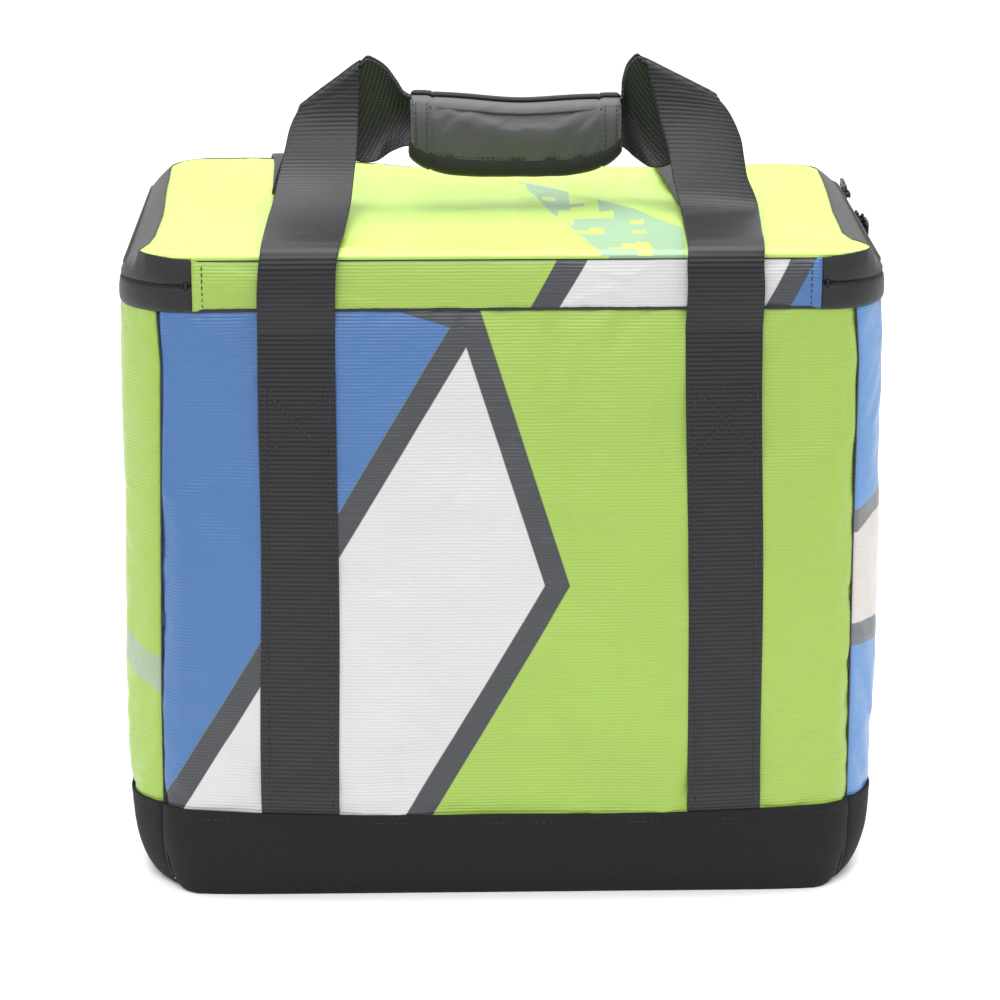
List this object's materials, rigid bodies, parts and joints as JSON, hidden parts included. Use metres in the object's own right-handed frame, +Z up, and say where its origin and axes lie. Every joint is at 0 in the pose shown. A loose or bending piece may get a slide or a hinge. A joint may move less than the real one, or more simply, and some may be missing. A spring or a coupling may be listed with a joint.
{
  "type": "insulated cooler bag",
  "caption": "Soft insulated cooler bag with a zipped hinged lid, reinforced boot, sewn carry webbing and a padded wrap grip.",
  "frame": {"origin": "centre of the flat underside of the boot", "axes": "+X to the right across the face with the fabric hinge, +Y from that face towards the zipped rear, +Z up"},
  "size_m": [0.3767, 0.236, 0.4159],
  "materials": {
    "vinyl_front": "semi-gloss coated fabric printed with abstract colour blocks",
    "vinyl_back": "semi-gloss coated fabric",
    "vinyl_left": "semi-gloss coated fabric",
    "vinyl_right": "semi-gloss coated fabric",
    "vinyl_lid": "semi-gloss coated fabric",
    "vinyl_hinge": "semi-gloss coated fabric",
    "boot_fabric": "matte heavy woven polyester",
    "band_fabric": "matte woven polyester",
    "webbing": "ribbed polypropylene webbing",
    "thread": "bonded nylon thread",
    "grip_fabric": "matte padded polyester",
    "hook_and_loop": "hook and loop pile",
    "zip_tape": "woven zip tape",
    "zip_coil": "nylon coil",
    "zip_metal": "dark plated zinc",
    "board": "rigid board",
    "foam": "closed-cell foam",
    "liner": "welded heat-reflective liner",
    "binding": "folded woven binding tape"
  },
  "bodies": {
    "bag_body": {"front_panel": "vinyl_front", "back_panel": "vinyl_back", "left_panel": "vinyl_left", "right_panel": "vinyl_right", "boot_front": "boot_fabric", "boot_back": "boot_fabric", "boot_left": "boot_fabric", "boot_right": "boot_fabric", "boot_bottom": "boot_fabric", "base_board": "board", "foam_front": "foam", "foam_back": "foam", "foam_left": "foam", "foam_right": "foam", "foam_floor": "foam", "liner_tub": "liner", "rim_binding": "binding", "zip_band_lower": "band_fabric", "zip_tape_lower": "zip_tape", "zip_coil_lower": "zip_coil", "zip_end_stops": "zip_metal", "front_strap_left": "webbing", "front_strap_right": "webbing", "rear_strap_left": "webbing", "rear_strap_right": "webbing", "cross_stitching": "thread", "hinge_strip": "vinyl_hinge"},
    "lid": {"lid_panel": "vinyl_lid", "lid_foam": "foam", "lid_liner": "liner", "lid_binding": "binding", "zip_band_upper": "band_fabric", "zip_tape_upper": "zip_tape", "zip_coil_upper": "zip_coil"},
    "front_risers": {"front_riser_left": "webbing", "front_riser_right": "webbing"},
    "front_loop": {"front_loop_left": "webbing", "front_loop_right": "webbing", "front_loop_grip_run": "webbing"},
    "rear_risers": {"rear_riser_left": "webbing", "rear_riser_right": "webbing"},
    "rear_loop": {"rear_loop_left": "webbing", "rear_loop_right": "webbing", "rear_loop_grip_run": "webbing", "grip_pad": "grip_fabric", "grip_loop_strip": "hook_and_loop"},
    "grip_wrap_flap": {"grip_flap": "grip_fabric", "grip_hook_strip": "hook_and_loop"},
    "zip_slider_front": {"slider_front": "zip_metal"},
    "zip_slider_rear": {"slider_rear": "zip_metal"},
    "zip_pull_front": {"pull_front": "zip_metal"},
    "zip_pull_rear": {"pull_rear": "zip_metal"}
  },
  "joints": [
    {"name": "lid_hinge", "type": "hinge", "parent": "bag_body", "child": "lid", "pos_m": [0, -0.116, 0.32], "axis": [1, 0, 0], "range_deg": [0, 110], "deforming": ["hinge_strip", "rear_riser_left", "rear_riser_right", "rear_loop_left", "rear_loop_right"]},
    {"name": "front_riser_fold", "type": "hinge", "parent": "bag_body", "child": "front_risers", "pos_m": [0, -0.1182, 0.2718], "axis": [1, 0, 0], "range_deg": [0, 161]},
    {"name": "front_loop_fold", "type": "hinge", "parent": "front_risers", "child": "front_loop", "pos_m": [0, -0.1182, 0.3336], "axis": [1, 0, 0], "range_deg": [0, 69]},
    {"name": "rear_riser_fold", "type": "hinge", "parent": "bag_body", "child": "rear_risers", "pos_m": [0, 0.1182, 0.2718], "axis": [1, 0, 0], "range_deg": [-161, 0]},
    {"name": "rear_loop_fold", "type": "hinge", "parent": "rear_risers", "child": "rear_loop", "pos_m": [0, 0.1182, 0.3336], "axis": [1, 0, 0], "range_deg": [-69, 0]},
    {"name": "grip_flap_hinge", "type": "hinge", "parent": "rear_loop", "child": "grip_wrap_flap", "pos_m": [0, 0.0006, 0.3955], "axis": [1, 0, 0], "range_deg": [-141, 0]},
    {"name": "front_slider_travel", "type": "slide", "parent": "bag_body", "child": "zip_slider_front", "axis": [0, 1, 0], "range_m": [-0.1, 0.04]},
    {"name": "rear_slider_travel", "type": "hinge", "parent": "bag_body", "child": "zip_slider_rear", "pos_m": [0.157, 0.087, 0.32], "axis": [0, 0, 1], "range_deg": [0, 90]},
    {"name": "front_pull_swing", "type": "hinge", "parent": "zip_slider_front", "child": "zip_pull_front", "pos_m": [0.1891, 0.024, 0.32], "axis": [0, 0, 1], "range_deg": [0, 110]},
    {"name": "rear_pull_swing", "type": "hinge", "parent": "zip_slider_rear", "child": "zip_pull_rear", "pos_m": [0.1891, 0.087, 0.32], "axis": [0, 0, 1], "range_deg": [-110, 0]}
  ],
  "couplings": [
    {"joint": "front_riser_fold", "follows": "lid_hinge", "ratio": 1.46},
    {"joint": "front_loop_fold", "follows": "lid_hinge", "ratio": 0.62},
    {"joint": "rear_riser_fold", "follows": "lid_hinge", "ratio": -1.46},
    {"joint": "rear_loop_fold", "follows": "lid_hinge", "ratio": -0.62},
    {"joint": "grip_flap_hinge", "follows": "lid_hinge", "ratio": -1.28}
  ]
}
